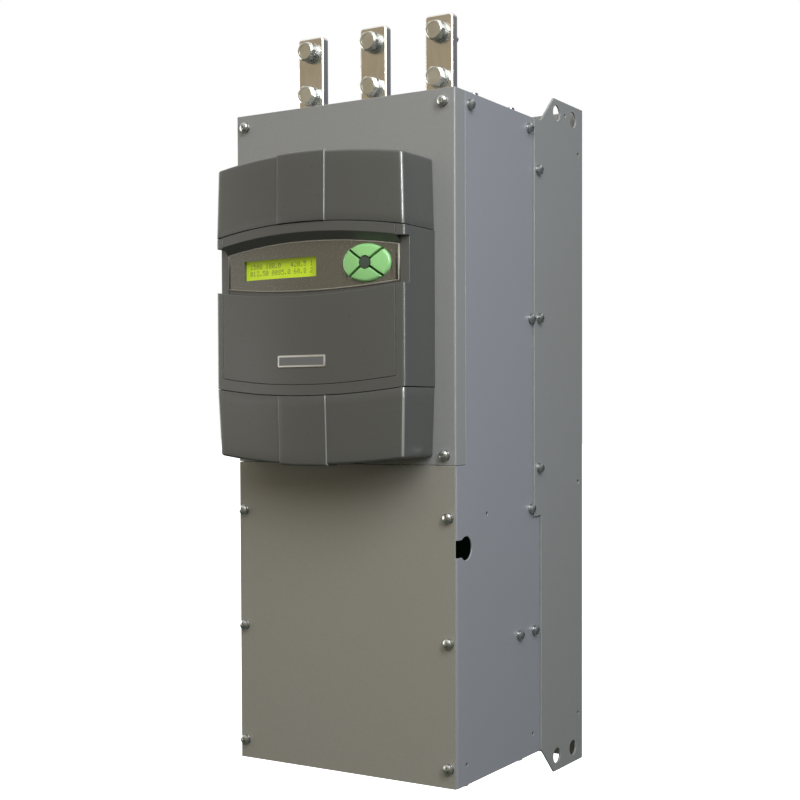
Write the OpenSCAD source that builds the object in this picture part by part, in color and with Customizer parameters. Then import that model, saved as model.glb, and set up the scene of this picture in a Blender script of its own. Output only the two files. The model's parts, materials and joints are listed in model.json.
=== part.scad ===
// Wall-fixed dc motor controller: folded sheet enclosure with a lower cable
// compartment, three supply busbars at the top, a fan-cooled power section on
// the wall side, and a moulded control head with display and keypad.
// Millimetres. X across the front, Y from the front to the wall, Z up.
// The origin lies on the wall face, on the centre line, level with the
// underside of the enclosure.

/* [Enclosure] */
// Width over the folded side panels
box_w = 252; // [252:1:256]
// Height from the bottom panel to the top panel
box_h = 644; // [644:1:648]
// Depth from the front covers to the wall face
box_d = 273; // [273:1:276]
// Thickness of the panel and cover sheet
sheet = 1.5; // [1.2:0.1:1.5]
// Thickness of the rear chassis sheet
chassis_t = 2; // [1.6:0.1:2.2]
// Height of the seam between the upper and lower front covers
seam_z = 298.4; // [296:0.2:300]
// Height that the rear ears stand above the enclosure
ear_h = 27.8; // [26:0.1:29]
// Diameter of the large holes in the rear ears
ear_hole_d = 16; // [12:0.5:17]
// Diameter of the round part of the side cable entry
entry_d = 22.5; // [18:0.5:24]

/* [Busbars] */
// Width of each supply and output busbar
bar_w = 31; // [28:1:31]
// Thickness of each busbar
bar_t = 10; // [8:0.5:10]
// Distance between neighbouring supply busbars
bar_pitch = 76; // [74:1:78]
// Height of the supply busbars above the enclosure
bar_rise = 85; // [82:0.5:88]
// Distance between the two bolts of one terminal
bolt_pitch = 44; // [40:1:46]

/* [Control head] */
// Width of the moulded control head
head_w = 215.6; // [214:0.2:216.6]
// Depth of the control head at its corners
head_corner = 52; // [51:0.5:53]
// Depth of the control head at its centre line
head_mid = 61; // [60:0.5:62]
// Distance of the control head's centre line from the enclosure's
head_x = -3; // [-5:0.5:0]
// Wall thickness of the mouldings
wall = 2.5; // [2.2:0.1:2.5]
// Travel of each key
key_travel = 1.2; // [0.8:0.1:1.2]

/* [Cooling] */
// Number of fins on the heatsink
fin_count = 25; // [15:2:27]
// Number of blades on each fan rotor
blade_count = 7; // [5:1:9]

/* [Hidden] */
$fn = 64;
hx = box_w / 2;              // outer face of a side panel
cx = hx + chassis_t;         // outer face of a chassis cheek
hw = head_w / 2;
sag = head_mid - head_corner;
Rf = (hw * hw + sag * sag) / (2 * sag);   // plan radius of the head's front
Yc = Rf - head_mid;                       // its centre, behind the front plane
BIG = 900;                   // facet count of the very large radii
bar_x = [-1 - bar_pitch, -1, -1 + bar_pitch];
bar_extra = [0.2, 0.8, 1.8]; // each bar is cut to its own length
ear_low = ear_h + 1.7;       // height of the ears below the enclosure
bar_y = 58;                  // front face of the busbars behind the covers
bolt_z = [box_h + bar_rise - 15.4, box_h + bar_rise - 15.4 - bolt_pitch];
dc_x = [48, -50];            // output busbars, positive then negative
dc_bolt_z = [60, 60 + bolt_pitch];
top_z = box_h;

front_screw_at = [[-114.6, 631.8], [114.6, 631.8], [-115.4, 307.7], [115.4, 307.7],
                  [-119, 250], [119, 250], [-119, 134], [119, 134],
                  [-119, 17.8], [119, 17.8]];
// side screws, depth and height: on the panel, then on the chassis cheek
panel_screw_at = [[27.3, 632.3], [147.4, 631.8], [151.2, 441.6], [151.1, 250], [158.6, 125.7], [125.6, 125.4]];
cheek_screw_at = [[164.4, 592.3], [166.2, 442.8], [166.2, 290.8]];
top_screw_at = [[-116, 52.4], [116, 52.4], [-116, 126.4], [116, 126.4]];
bottom_screw_at = [[-117, 30], [117, 30], [-117, 140], [117, 140]];

// ---------- placing and drilling ----------

// the working frame has the front plane of the covers at y = 0
module place() { translate([0, -box_d, 0]) children(); }

// a YZ outline extruded along X, and an XZ outline extruded along Y
module yz(x0, x1) { translate([x0, 0, 0]) rotate([90, 0, 90]) linear_extrude(x1 - x0) children(); }
module xz(y0, y1) { translate([0, y1, 0]) rotate([90, 0, 0]) linear_extrude(y1 - y0) children(); }

module drill_x(y, z, r, x0, x1) { translate([x0, y, z]) rotate([0, 90, 0]) cylinder(r = r, h = x1 - x0); }
module drill_y(x, z, r, y0, y1) { translate([x, y1, z]) rotate([90, 0, 0]) cylinder(r = r, h = y1 - y0); }
module drill_z(x, y, r, z0, z1) { translate([x, y, z0]) cylinder(r = r, h = z1 - z0); }
module block(a, b) { translate(a) cube(b - a); }

// quarter of a folded corner: outer radius r, sheet t, in the quadrant of +x, -y
module fold2d(r, t) {
    intersection() {
        difference() { circle(r); circle(r - t); }
        translate([0, -r]) square([r, r]);
    }
}

// ---------- fasteners ----------

// M5 pan head with a cross recess, above a plain and a spring washer that lie
// on the sheet at z = 0
washer_t = 1;
spring_t = 1.2;
module pan_screw(len, rs = 2.5, rh = 4.6, hh = 3.5) {
    translate([0, 0, washer_t + spring_t]) difference() {
        union() {
            rotate_extrude() intersection() {
                translate([0, hh - 8]) circle(8, $fn = 96);
                square([rh, hh]);
            }
            translate([0, 0, -len - washer_t - spring_t]) cylinder(r = rs, h = len + washer_t + spring_t + 0.2);
        }
        for (a = [0, 90]) rotate([0, 0, a + 20]) translate([-2.6, -0.5, hh - 2.1]) cube([5.2, 1, 3]);
    }
}
module washer_ring(r1, r2, h) { difference() { cylinder(r = r1, h = h); translate([0, 0, -1]) cylinder(r = r2, h = h + 2); } }
module washer_pair() {
    washer_ring(5, 2.6, washer_t);
    translate([0, 0, washer_t]) difference() {
        washer_ring(4.4, 2.6, spring_t);
        rotate([0, 0, 205]) translate([2, -0.4, -1]) cube([4, 0.8, 4]);
    }
}
module front_screw_holes(y0, y1, pick) { for (p = [for (i = pick) front_screw_at[i]]) drill_y(p[0], p[1], 2.7, y0, y1); }
module side_screw_holes(x0, x1) {
    for (p = concat(panel_screw_at, cheek_screw_at)) drill_x(p[0], p[1], 2.7, x0, x1);
}

module front_screws() {
    place() color("gainsboro") for (p = front_screw_at)
        translate([p[0], 0, p[1]]) rotate([90, 0, 0]) pan_screw(9);
}
module side_screws() {
    place() color("gainsboro") for (s = [-1, 1]) {
        for (p = panel_screw_at) translate([s * hx, p[0], p[1]]) rotate([0, s * 90, 0]) pan_screw(9);
        for (p = cheek_screw_at) translate([s * cx, p[0], p[1]]) rotate([0, s * 90, 0]) pan_screw(11);
    }
}
module panel_screws() {
    place() color("gainsboro") {
        for (p = top_screw_at) translate([p[0], p[1], top_z]) pan_screw(9);
        for (p = bottom_screw_at) translate([p[0], p[1], 0]) rotate([180, 0, 0]) pan_screw(9);
    }
}

// the two captive washers of each cover and panel screw
module screw_washers() {
    place() color("silver") {
        for (p = front_screw_at) translate([p[0], 0, p[1]]) rotate([90, 0, 0]) washer_pair();
        for (s = [-1, 1]) {
            for (p = panel_screw_at) translate([s * hx, p[0], p[1]]) rotate([0, s * 90, 0]) washer_pair();
            for (p = cheek_screw_at) translate([s * cx, p[0], p[1]]) rotate([0, s * 90, 0]) washer_pair();
        }
        for (p = top_screw_at) translate([p[0], p[1], top_z]) washer_pair();
        for (p = bottom_screw_at) translate([p[0], p[1], 0]) rotate([180, 0, 0]) washer_pair();
    }
}

// ---------- folded enclosure ----------

// rear chassis: wall plate folded into a cheek on each side
module cheek_outline() {
    polygon([[156.5, box_h], [156.5, 241.8], [171.6, 241.8], [171.6, 0.5], [201, -ear_low],
             [box_d - 3, -ear_low], [box_d - 3, box_h + ear_h], [201, box_h + ear_h], [172, box_h]]);
}
module rear_chassis() {
    place() color([0.47, 0.47, 0.46]) difference() {
        union() {
            for (s = [0, 1]) mirror([s, 0, 0]) {
                yz(cx - chassis_t, cx) cheek_outline();
                translate([cx - 3, box_d - 3, -ear_low]) linear_extrude(box_h + ear_h + ear_low)
                    rotate([0, 0, 90]) fold2d(3, chassis_t);
            }
            block([-cx + 3, box_d - chassis_t, -ear_low], [cx - 3, box_d, box_h + ear_h]);
        }
        // large holes through both cheeks above and below the enclosure
        for (z = [box_h + 13.5, -13.5], y = [208, 247]) drill_x(y, z, ear_hole_d / 2, -cx - 5, cx + 5);
        drill_x(227.5, box_h + 14, 2, -cx - 5, cx + 5);
        for (z = [622.5, 272.5, 21.5]) for (s = [-1, 1]) drill_x(260, z, 2.3, s > 0 ? cx - 5 : -cx - 5, s > 0 ? cx + 5 : -cx + 5);
        for (s = [-1, 1]) for (p = cheek_screw_at) drill_x(p[0], p[1], 2.7, s > 0 ? cx - 5 : -cx - 5, s > 0 ? cx + 5 : -cx + 5);
        // wall fixing holes
        for (x = [-95, 95], z = [box_h + 15, -14]) drill_y(x, z, 4.5, box_d - 10, box_d + 5);
    }
}

// right side panel; the left one is its mirror image without the cable entry
module side_panel(entry) {
    difference() {
        union() {
            block([hx - sheet, 19.4, -1.1], [hx, box_d - 3.2, box_h]);
            // lower part runs forward and folds behind the lower cover
            block([hx - sheet, 3.5 + 0.5, -1.1], [hx, 20, seam_z]);
            translate([hx - 2.5, 1.5 + 2.5, -1.1]) linear_extrude(seam_z + 1.1) fold2d(2.5, sheet);
            block([107, 1.5, -1.1], [hx - 2.5, 1.5 + sheet, seam_z]);
            // tab for the upper cover's bottom screws
            block([107, 1.5, seam_z - 1], [hx - 4, 1.5 + sheet, seam_z + 22]);
            // flanges at the top and the bottom
            block([110, 42, box_h - 3], [hx - sheet / 2, 156, box_h - 1.5]);
            block([110, 6, 1.5], [hx - sheet / 2, 170, 3]);
        }
        side_screw_holes(hx - 8, hx + 4);
        front_screw_holes(-2, 6, [3, 5, 7, 9]);
        for (i = [1, 3]) drill_z(top_screw_at[i][0], top_screw_at[i][1], 2.7, box_h - 8, box_h + 2);
        drill_z(117, 30, 2.7, -2, 8);
        drill_z(117, 140, 2.7, -2, 8);
        // small empty holes
        for (p = [[60, 251], [156, 19.8], [20, 18.5]]) drill_x(p[0], p[1], 1.8, hx - 5, hx + 3);
        if (entry) {
            drill_x(19.4, 221, entry_d / 2, hx - 6, hx + 4);
            block([100, -2, 212.8], [hx + 4, 19.4, 229.2]);
        }
    }
}
module right_side_panel() { place() color([0.49, 0.49, 0.48]) side_panel(true); }
module left_side_panel() { place() color([0.49, 0.49, 0.48]) mirror([1, 0, 0]) side_panel(false); }

module top_panel() {
    place() color([0.5, 0.5, 0.48]) difference() {
        union() {
            block([-hx + 1.6, 38.2, box_h - 1.5], [hx - 1.6, box_d - chassis_t - 0.1, box_h]);
            block([-hx + 3.1, 2.2, box_h - 1.5], [hx - 3.1, 38.3, box_h]);
            block([-hx + 1.3, 2.2, box_h - 1.5], [hx - 1.3, 16.8, box_h]);
            block([-121, 1.6, box_h - 22], [121, 3.1, box_h - 1]);
        }
        for (x = bar_x) block([x - 21, bar_y - 8, box_h - 5], [x + 21, bar_y + bar_t + 8, box_h + 5]);
        // air outlet above the heatsink
        for (i = [-9 : 9]) block([i * 11.6 - 3.4, 192, box_h - 5], [i * 11.6 + 3.4, 258, box_h + 5]);
        for (p = top_screw_at) drill_z(p[0], p[1], 2.7, box_h - 5, box_h + 5);
        front_screw_holes(0, 6, [0, 1]);
    }
}

module bottom_panel() {
    place() color([0.5, 0.5, 0.48]) difference() {
        block([-hx + 1.6, 3.6, 0], [hx - 1.6, box_d - chassis_t - 0.1, 1.5]);
        for (p = bottom_screw_at) drill_z(p[0], p[1], 2.7, -3, 5);
        // cable opening under the output terminals
        block([-100, 18, -3], [100, 112, 5]);
        // air inlet slots under each fan, and an open slot beside it
        for (s = [-1, 1]) for (i = [-4 : 4])
            let (h = sqrt(38.5 * 38.5 - 81 * i * i) - 2)
                block([s * fan_x + i * 9 - 3.1, 224 - h, -3], [s * fan_x + i * 9 + 3.1, 224 + h, 5]);
        for (s = [-1, 1]) block([s * 95 - 11, 192, -3], [s * 95 + 11, 254, 5]);
        for (s = [-1, 1]) for (a = [-35.75, 35.75], b = [-35.75, 35.75]) drill_z(s * fan_x + a, 224 + b, 2.2, -3, 5);
    }
}

module upper_front_cover() {
    place() color([0.5, 0.5, 0.47]) difference() {
        union() {
            block([-hx + 1.4, 0, seam_z + 0.4], [hx - 1.4, sheet, box_h - 0.3]);
            // side flanges, set in behind the edges of the side panels
            for (s = [0, 1]) mirror([s, 0, 0]) {
                translate([hx - 1.4, 1.8, seam_z + 0.4]) linear_extrude(box_h - 0.7 - seam_z) fold2d(1.8, sheet);
                block([hx - 1.1, 1.8, seam_z + 0.4], [hx + 0.4, 18.5, box_h - 0.3]);
                block([hx - 3, 17, seam_z + 0.4], [hx + 0.4, 18.5, box_h - 0.3]);
                block([hx - 3, 17, seam_z + 0.4], [hx - 1.5, 38, box_h - 0.3]);
            }
        }
        front_screw_holes(-2, 5, [0, 1, 2, 3]);
        for (s = [-1, 1]) drill_x(27.3, 632.3, 2.7, s > 0 ? hx - 6 : -hx - 1, s > 0 ? hx + 1 : -hx + 6);
        // loom window behind the control head
        block([-60, -2, 400], [60, 5, 500]);
        for (x = [-88, 88], z = [330, 555]) drill_y(head_x + x, z, 1.7, -2, 5);
    }
}

module lower_front_cover() {
    place() color([0.48, 0.48, 0.44]) difference() {
        block([-hx + 0.6, 0, -0.9], [hx - 0.6, sheet, seam_z - 0.1]);
        front_screw_holes(-2, 5, [4, 5, 6, 7, 8, 9]);
    }
}

// ---------- inner framework ----------

module mounting_rail() {
    difference() {
        union() {
            block([hx - 3.6, 118, 60], [hx - 1.6, 170, 640]);
            block([107.5, 168, 60], [hx - 3.4, 170, 640]);
        }
        side_screw_holes(hx - 10, hx + 2);
        for (z = [130, 611]) drill_x(124, z + 6, 2.2, hx - 6, hx);
    }
}
module right_mounting_rail() { place() color("silver") mounting_rail(); }
module left_mounting_rail() { place() color("silver") mirror([1, 0, 0]) mounting_rail(); }

// cross member between the rails that carries the busbar insulators
module crossbar(z, xs) {
    difference() {
        union() {
            block([-hx + 3.7, 118, z - 15], [hx - 3.7, 120, z + 15]);
            for (s = [0, 1]) mirror([s, 0, 0]) block([hx - 5.7, 118, z - 15], [hx - 3.7, 138, z + 15]);
        }
        for (x = xs) drill_y(x, z, 4.3, 110, 130);
        side_screw_holes(hx - 14, hx);
        side_screw_holes(-hx, -hx + 14);
    }
}
module upper_crossbar() { place() color("silver") crossbar(612, bar_x); }
module lower_crossbar() { place() color("silver") crossbar(150, dc_x); }

// sheet that closes the air duct between the fans and the heatsink
module air_baffle() {
    place() color("silver") union() {
        block([-104, 174, 3], [104, 175.5, 44.5]);
        block([-108, 160, 1.5], [108, 175.5, 3]);
        block([-118, 174, 43], [118, 187, 44.5]);
    }
}

// ---------- power section ----------

module heatsink() {
    pitch = 8.9;
    place() color([0.72, 0.73, 0.74]) difference() {
        translate([0, 0, 45]) linear_extrude(560) union() {
            translate([-118, 170.1]) square([236, 18]);
            for (i = [0 : fin_count - 1])
                translate([(i - (fin_count - 1) / 2) * pitch - 1.2, 188]) square([2.4, 76]);
        }
        // blind holes for the module fixings
        for (x = bar_x, a = [-25, 25], z = [377.5, 516.5]) drill_y(x + a, z, 2.55, 160, 180);
    }
}

module thyristor_module(x) {
    place() color([0.16, 0.16, 0.17]) difference() {
        union() {
            block([x - 30, 165, 372], [x + 30, 170.1, 522]);
            difference() {
                block([x - 28, 128, 376], [x + 28, 165.1, 518]);
                for (a = [-28, 28], z = [377.5, 516.5]) drill_y(x + a, z, 8.2, 120, 165);
            }
            for (z = [400, 450, 500]) block([x - 14, 118, z - 14], [x + 14, 128.1, z + 14]);
            block([x + 17, 122, 384], [x + 26, 128.1, 416]);
        }
        for (z = [400, 450, 500]) drill_y(x, z, 5.1, 110, 140);
        for (a = [-25, 25], z = [377.5, 516.5]) drill_y(x + a, z, 2.6, 120, 180);
    }
}
module thyristor_module_1() { thyristor_module(bar_x[0]); }
module thyristor_module_2() { thyristor_module(bar_x[1]); }
module thyristor_module_3() { thyristor_module(bar_x[2]); }

// hexagon head screws that clamp the bars to the modules
module module_screws() {
    place() color("gainsboro") for (x = bar_x, z = [400, 450, 500])
        translate([x, 118 - bar_t, z]) rotate([90, 0, 0]) {
            cylinder(r = 9.8, h = 6.4, $fn = 6);
            translate([0, 0, -24]) cylinder(r = 5, h = 24.2);
        }
}

// screws through the module feet into the heatsink
module module_fixings() {
    place() color("gainsboro") for (x = bar_x, a = [-25, 25], z = [377.5, 516.5])
        translate([x + a, 165, z]) rotate([90, 0, 0]) {
            cylinder(r = 4.4, h = 3);
            translate([0, 0, -14]) cylinder(r = 2.5, h = 14.2);
        }
}

// supply busbar: terminal end above the enclosure, set back to the module inside
module ac_busbar(i) {
    x = bar_x[i];
    top = box_h + bar_rise + bar_extra[i];
    place() color([0.62, 0.56, 0.45]) difference() {
        intersection() {
            yz(x - bar_w / 2, x + bar_w / 2) union() {
                translate([bar_y, 546]) square([bar_t, top - 546]);
                translate([bar_y, 546]) square([118 - bar_y, bar_t]);
                translate([118 - bar_t, 484]) square([bar_t, 62 + bar_t]);
            }
            xz(bar_y - 5, 125) union() {
                translate([x - bar_w / 2, 480]) square([bar_w, top - 484]);
                translate([x - bar_w / 2 + 4, 480]) square([bar_w - 8, top - 480]);
                for (s = [-1, 1]) translate([x + s * (bar_w / 2 - 4), top - 4]) circle(4);
            }
        }
        for (z = bolt_z) drill_y(x, z, 5.6, bar_y - 5, bar_y + bar_t + 5);
        drill_y(x, 612, 4.3, bar_y - 5, bar_y + bar_t + 5);
        drill_y(x, 500, 5.3, 100, 125);
    }
}
module ac_busbar_1() { ac_busbar(0); }
module ac_busbar_2() { ac_busbar(1); }
module ac_busbar_3() { ac_busbar(2); }

// output busbar: across the modules, forward, then down into the cable compartment
module dc_busbar(x, z) {
    place() color([0.62, 0.56, 0.45]) difference() {
        union() {
            block([-bar_pitch - bar_w / 2, 118 - bar_t, z - 14], [bar_pitch + bar_w / 2, 118, z + 14]);
            block([x - bar_w / 2, bar_y, z - 14], [x + bar_w / 2, 118 - bar_t / 2, z - 14 + bar_t]);
            block([x - bar_w / 2, bar_y, dc_bolt_z[0] - 15], [x + bar_w / 2, bar_y + bar_t, z - 14 + bar_t]);
        }
        for (bx = bar_x) drill_y(bx, z, 5.3, 100, 125);
        for (bz = dc_bolt_z) drill_y(x, bz, 5.6, bar_y - 5, bar_y + bar_t + 5);
        drill_y(x, 150, 4.3, bar_y - 5, bar_y + bar_t + 5);
    }
}
module dc_busbar_positive() { dc_busbar(dc_x[0], 450); }
module dc_busbar_negative() { dc_busbar(dc_x[1], 400); }

// every terminal bolt: three supply bars above, two output bars below
terminal_at = concat([for (x = bar_x, z = bolt_z) [x, z]], [for (x = dc_x, z = dc_bolt_z) [x, z]]);

// M10 hexagon bolt; the upper one of the right supply bar is longer, with a
// turned point
module busbar_bolts() {
    place() color("gainsboro") for (p = terminal_at) let (long = p[0] == bar_x[2] && p[1] == bolt_z[0])
        translate([p[0], bar_y - 4.2, p[1]]) rotate([90, 0, 0]) {
            rotate([0, 0, 11 + p[1] % 7 * 8]) difference() {
                intersection() {
                    cylinder(r = 8.5 / cos(30), h = 6.4, $fn = 6);
                    cylinder(r1 = 8.1 + 6.4 * 1.732, r2 = 8.1, h = 6.4);
                }
                translate([0, 0, 6.1]) cylinder(r = 6.4, h = 2);
            }
            translate([0, 0, long ? -27 : -24]) cylinder(r = 4.95, h = (long ? 27 : 24) + 0.2);
            if (long) translate([0, 0, -37]) cylinder(r = 3.3, h = 11);
        }
}
module busbar_washers() {
    place() color("silver") for (p = terminal_at)
        translate([p[0], bar_y, p[1]]) rotate([90, 0, 0]) washer_ring(10.5, 5.3, 2);
}
module spring_washers() {
    place() color("silver") for (p = terminal_at)
        translate([p[0], bar_y - 2, p[1]]) rotate([90, 0, 0]) difference() {
            washer_ring(9.05, 5.15, 2.2);
            rotate([0, 0, 40]) translate([4, -0.5, -1]) cube([8, 1, 5]);
        }
}
module clinch_nuts() {
    place() color("silver") for (p = terminal_at)
        translate([p[0], bar_y + bar_t, p[1]]) rotate([-90, 0, 0]) washer_ring(8, 5.05, 8);
}

// moulded standoffs between the crossbars and the bars
module busbar_insulators() {
    place() color([0.45, 0.12, 0.08])
        for (p = concat([for (x = bar_x) [x, 612]], [for (x = dc_x) [x, 150]]))
            translate([p[0], bar_y + bar_t, p[1]]) rotate([-90, 0, 0]) difference() {
                h = 118 - bar_y - bar_t;
                rotate_extrude() polygon([[0, 0], [14, 0], [15, 1], [15, 12], [12.5, 15], [12.5, 22], [15, 25],
                    [15, h - 25], [12.5, h - 22], [12.5, h - 15], [15, h - 12], [15, h - 1], [14, h], [0, h]]);
                translate([0, 0, -1]) cylinder(r = 4, h = 15);
                translate([0, 0, h - 14]) cylinder(r = 4, h = 15);
            }
}

// ring current transformer around a supply bar
module current_transformer(x) {
    place() color([0.12, 0.14, 0.2]) difference() {
        xz(bar_y + bar_t / 2 - 20, bar_y + bar_t / 2 + 20) union() {
            translate([x - 26, 566]) square([52, 24]);
        }
        block([x - bar_w / 2, bar_y, 560], [x + bar_w / 2, bar_y + bar_t, 600]);
    }
}
module current_transformer_left() { current_transformer(bar_x[0]); }
module current_transformer_right() { current_transformer(bar_x[2]); }

// ---------- firing board ----------

module trigger_board() {
    place() color([0.1, 0.42, 0.2]) difference() {
        union() {
            block([-102, 94, 182], [102, 95.6, 362]);
            // pulse transformers, relay, capacitors and plug headers
            for (i = [0 : 5]) block([-92 + i * 32, 78, 318], [-70 + i * 32, 94.1, 342]);
            for (i = [0 : 2]) translate([-80 + i * 30, 94.1, 214]) rotate([90, 0, 0]) cylinder(r = 9, h = 22);
            block([20, 76, 200], [50, 94.1, 226]);
            block([-90, 84, 270], [-40, 94.1, 278]);
            block([30, 84, 270], [86, 94.1, 278]);
        }
        for (x = [-94, 94], z = [190, 354]) drill_y(x, z, 2.2, 88, 100);
    }
}
module trigger_board_standoffs() {
    place() color([0.8, 0.7, 0.4]) for (x = [-94, 94], z = [190, 354])
        translate([x, 170.1, z]) rotate([90, 0, 0]) {
            cylinder(r = 5, h = 170.1 - 95.6, $fn = 6);
            cylinder(r = 2, h = 170.1 - 95.6 + 5);
            translate([0, 0, 170.1 - 95.6 + 1.6]) cylinder(r = 3.5, h = 2.6);
        }
}

// ---------- cooling fans ----------

fan_x = 41;
module fan_frame(x) {
    place() color([0.13, 0.13, 0.13]) translate([x, 224, 1.5]) difference() {
        union() {
            difference() {
                block([-40, -40, 0], [40, 40, 25]);
                translate([0, 0, -1]) cylinder(r = 38.2, h = 27);
            }
            cylinder(r = 17, h = 3);
            for (a = [45 : 90 : 315]) rotate([0, 0, a]) block([14, -2.5, 0], [41, 2.5, 3]);
            cylinder(r = 1.5, h = 19);
        }
        for (a = [-35.75, 35.75], b = [-35.75, 35.75]) drill_z(a, b, 2.2, -1, 27);
    }
}
module fan_rotor(x) {
    place() color([0.2, 0.2, 0.2]) translate([x, 224, 1.5]) difference() {
        union() {
            translate([0, 0, 4]) cylinder(r = 18, h = 18.5);
            intersection() {
                translate([0, 0, 4.5]) difference() { cylinder(r = 37.2, h = 17.5); translate([0, 0, -1]) cylinder(r = 17.5, h = 20); }
                for (i = [0 : blade_count - 1]) rotate([0, 0, i * 360 / blade_count])
                    translate([28, 0, 13]) rotate([48, 0, 0]) cube([24, 28, 1.6], center = true);
            }
        }
        translate([0, 0, 3]) cylinder(r = 1.55, h = 17);
    }
}
module fan_frame_left() { fan_frame(-fan_x); }
module fan_frame_right() { fan_frame(fan_x); }
module fan_rotor_left() { fan_rotor(-fan_x); }
module fan_rotor_right() { fan_rotor(fan_x); }

// ---------- control head ----------

// space inside the head's front radius, reduced by off
module bowl(off, z0, z1) { translate([head_x, Yc, z0]) cylinder(r = Rf - off, h = z1 - z0, $fn = BIG); }

// XZ arch: below the arc of sagitta s over half chord c, crown at z, for s > 0,
// and above the sagging arc for s < 0
function arc_r(c, s) = (c * c + s * s) / (2 * abs(s));
module under_arch(c, s, z) { translate([head_x, z - arc_r(c, s)]) circle(arc_r(c, s), $fn = BIG); }
module over_sag(c, s, z) { translate([head_x, z + arc_r(c, s)]) circle(arc_r(c, s), $fn = BIG); }
module band(x, z0, z1) { translate([head_x - x, z0]) square([2 * x, z1 - z0]); }

// plan of the head: curved front, rounded corners, straight sides to y = back
corner_r = 4;
module head_plan(off, back) {
    w = hw - off;
    r = corner_r - min(off, 3);
    R = Rf - off;
    xc = w - r;
    yc = Yc - sqrt((R - r) * (R - r) - xc * xc);
    xt = xc * R / (R - r);
    intersection() {
        translate([head_x, Yc]) circle(R, $fn = BIG);
        translate([head_x - xt, -head_mid - 5]) square([2 * xt, head_mid + 5 + back]);
    }
    translate([head_x - w, yc]) square([2 * w, back - yc]);
    for (s = [-1, 1]) translate([head_x + s * xc, yc]) circle(r);
}

module base_tray() {
    place() color([0.3, 0.3, 0.28]) difference() {
        union() {
            block([head_x - 100.5, -3, 310], [head_x + 100.5, 0, 573]);
            for (s = [0, 1]) translate([head_x, 0, 0]) mirror([s, 0, 0]) {
                block([99, -3, 374], [hw - wall, -0.5, 510]);
                block([hw - wall - 2, -12, 374], [hw - wall, -0.5, 510]);
            }
            for (x = [-88, 88], z = [330, 555]) translate([head_x + x, -2.9, z]) rotate([90, 0, 0]) cylinder(r = 5, h = 3.1);
        }
        block([-60, -4, 400], [60, 1, 500]);
        for (x = [-88, 88], z = [330, 555]) drill_y(head_x + x, z, 1.7, -8, 1);
    }
}

// recess of the display area: a sagging floor line below and a sloping arched
// ceiling above; both are cut square to the front
fac_c = 99;                  // half width over which the arcs are measured
module ceiling_zone(grow) {
    translate([head_x, -head_mid, 513.9 + grow]) rotate([-41.3, 0, 0])
        translate([0, -20, -arc_r(fac_c, 0.75)]) rotate([-90, 0, 0]) cylinder(r = arc_r(fac_c, 0.75), h = 70, $fn = BIG);
}
module recess_zone(grow) {
    intersection() {
        notch_zone(grow, 540);
        ceiling_zone(grow);
    }
}
// the same zone with a level top, as it runs out through the housing's corners
module notch_zone(grow, top) {
    xz(-head_mid - 6, -20) intersection() {
        over_sag(fac_c, 7, 455.2 - grow);
        band(hw + 10, 440, top + grow);
    }
}

module display_panel() {
    place() color([0.34, 0.34, 0.31]) union() {
      difference() {
        intersection() {
            bowl(0, 350, 540);
            xz(-head_mid - 6, -20) intersection() {
                band(98.3, 360, 540);
                over_sag(98.5, 7.2, 373.3);
                under_arch(107, 8.2, 522.8);
            }
        }
        // open back
        bowl(11.5, 340, 560);
        // pockets behind the plain areas above and below the recess
        difference() {
            bowl(wall, 350, 540);
            recess_zone(wall);
            // end ribs beside the ceiling
            for (s = [0, 1]) translate([head_x, 0, 0]) mirror([s, 0, 0]) block([96, -62, 494], [100, -40, 508]);
        }
        difference() {
            recess_zone(0);
            bowl(9, 430, 550);
        }
        // display window and key opening
        block([head_x - 75.9, -70, 472.9], [head_x + 12.4, -20, 492.1]);
        key_frame() xz(-15, 15) oval(25.8, 18.3);
      }
      // bosses that carry the display board
      for (x = [-86, 90], z = [461.5, 506.4]) {
          drill_y(head_x + x, z, 2.8, z < 480 ? -head_mid + 16 : -head_mid + 11.3, -36.6);
          drill_y(head_x + x, z, 1.5, -40, -33.8);
      }
    }
}

module display_facia() {
    place() color([0.42, 0.4, 0.36]) difference() {
        intersection() {
            bowl(7.5, 440, 530);
            xz(-head_mid - 6, -20) intersection() {
                over_sag(fac_c, 6, 459.9);
                band(98.1, 440, 530);
            }
            ceiling_zone(-0.15);
        }
        bowl(9, 430, 540);
        block([head_x - 75.3, -70, 473.4], [head_x + 12, -20, 491.6]);
        key_frame() xz(-15, 15) oval(25.4, 17.9);
    }
}

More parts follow.
